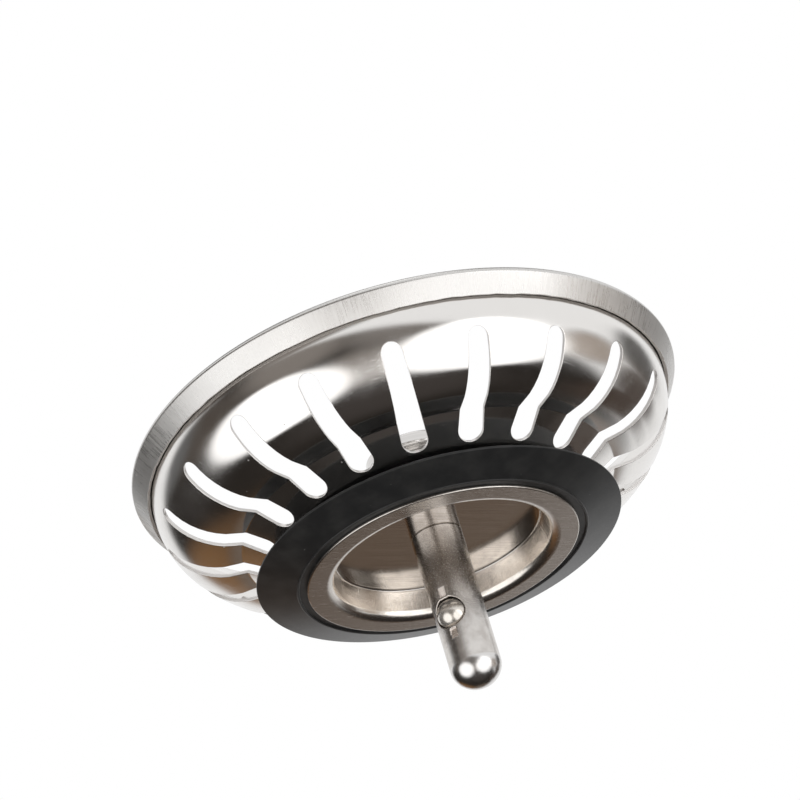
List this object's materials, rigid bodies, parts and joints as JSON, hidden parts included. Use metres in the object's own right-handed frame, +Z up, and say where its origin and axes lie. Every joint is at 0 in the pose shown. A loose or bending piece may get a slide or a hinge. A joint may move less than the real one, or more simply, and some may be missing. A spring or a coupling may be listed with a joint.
{
  "type": "sink strainer",
  "caption": "Round sink strainer plug: slotted polished steel bowl with a folded rim, a black rubber lip seal under it, and a domed centre pin with a sprung detent ball.",
  "frame": {"origin": "on the strainer's axis, where the pin leaves the recess floor of the seal carrier", "axes": "+Z up out of the waste in use, so the pin points along -Z; the detent ball faces -Y"},
  "size_m": [0.0792, 0.0792, 0.0397],
  "materials": {
    "basket_bowl": "mirror-polished stainless sheet, satin on the folded rim",
    "knob": "polished stainless steel",
    "lock_washer": "plain spring steel",
    "floor_gasket": "flat black rubber",
    "seal_carrier": "satin stainless sheet with fine draw marks",
    "rubber_seal": "matte black moulded rubber",
    "pin": "satin turned steel with a polished domed tip",
    "detent_ball": "polished bearing ball",
    "detent_spring": "plain spring wire"
  },
  "bodies": {
    "strainer": {"basket_bowl": "basket_bowl", "knob": "knob", "lock_washer": "lock_washer", "floor_gasket": "floor_gasket", "seal_carrier": "seal_carrier", "rubber_seal": "rubber_seal", "pin": "pin", "detent_spring": "detent_spring"},
    "ball": {"detent_ball": "detent_ball"}
  },
  "joints": [
    {"name": "ball_press", "type": "slide", "parent": "strainer", "child": "ball", "axis": [0, -1, 0], "range_m": [-0.0008, 0], "stiffness_N_per_m": 3000, "deforming": ["detent_spring"]}
  ]
}
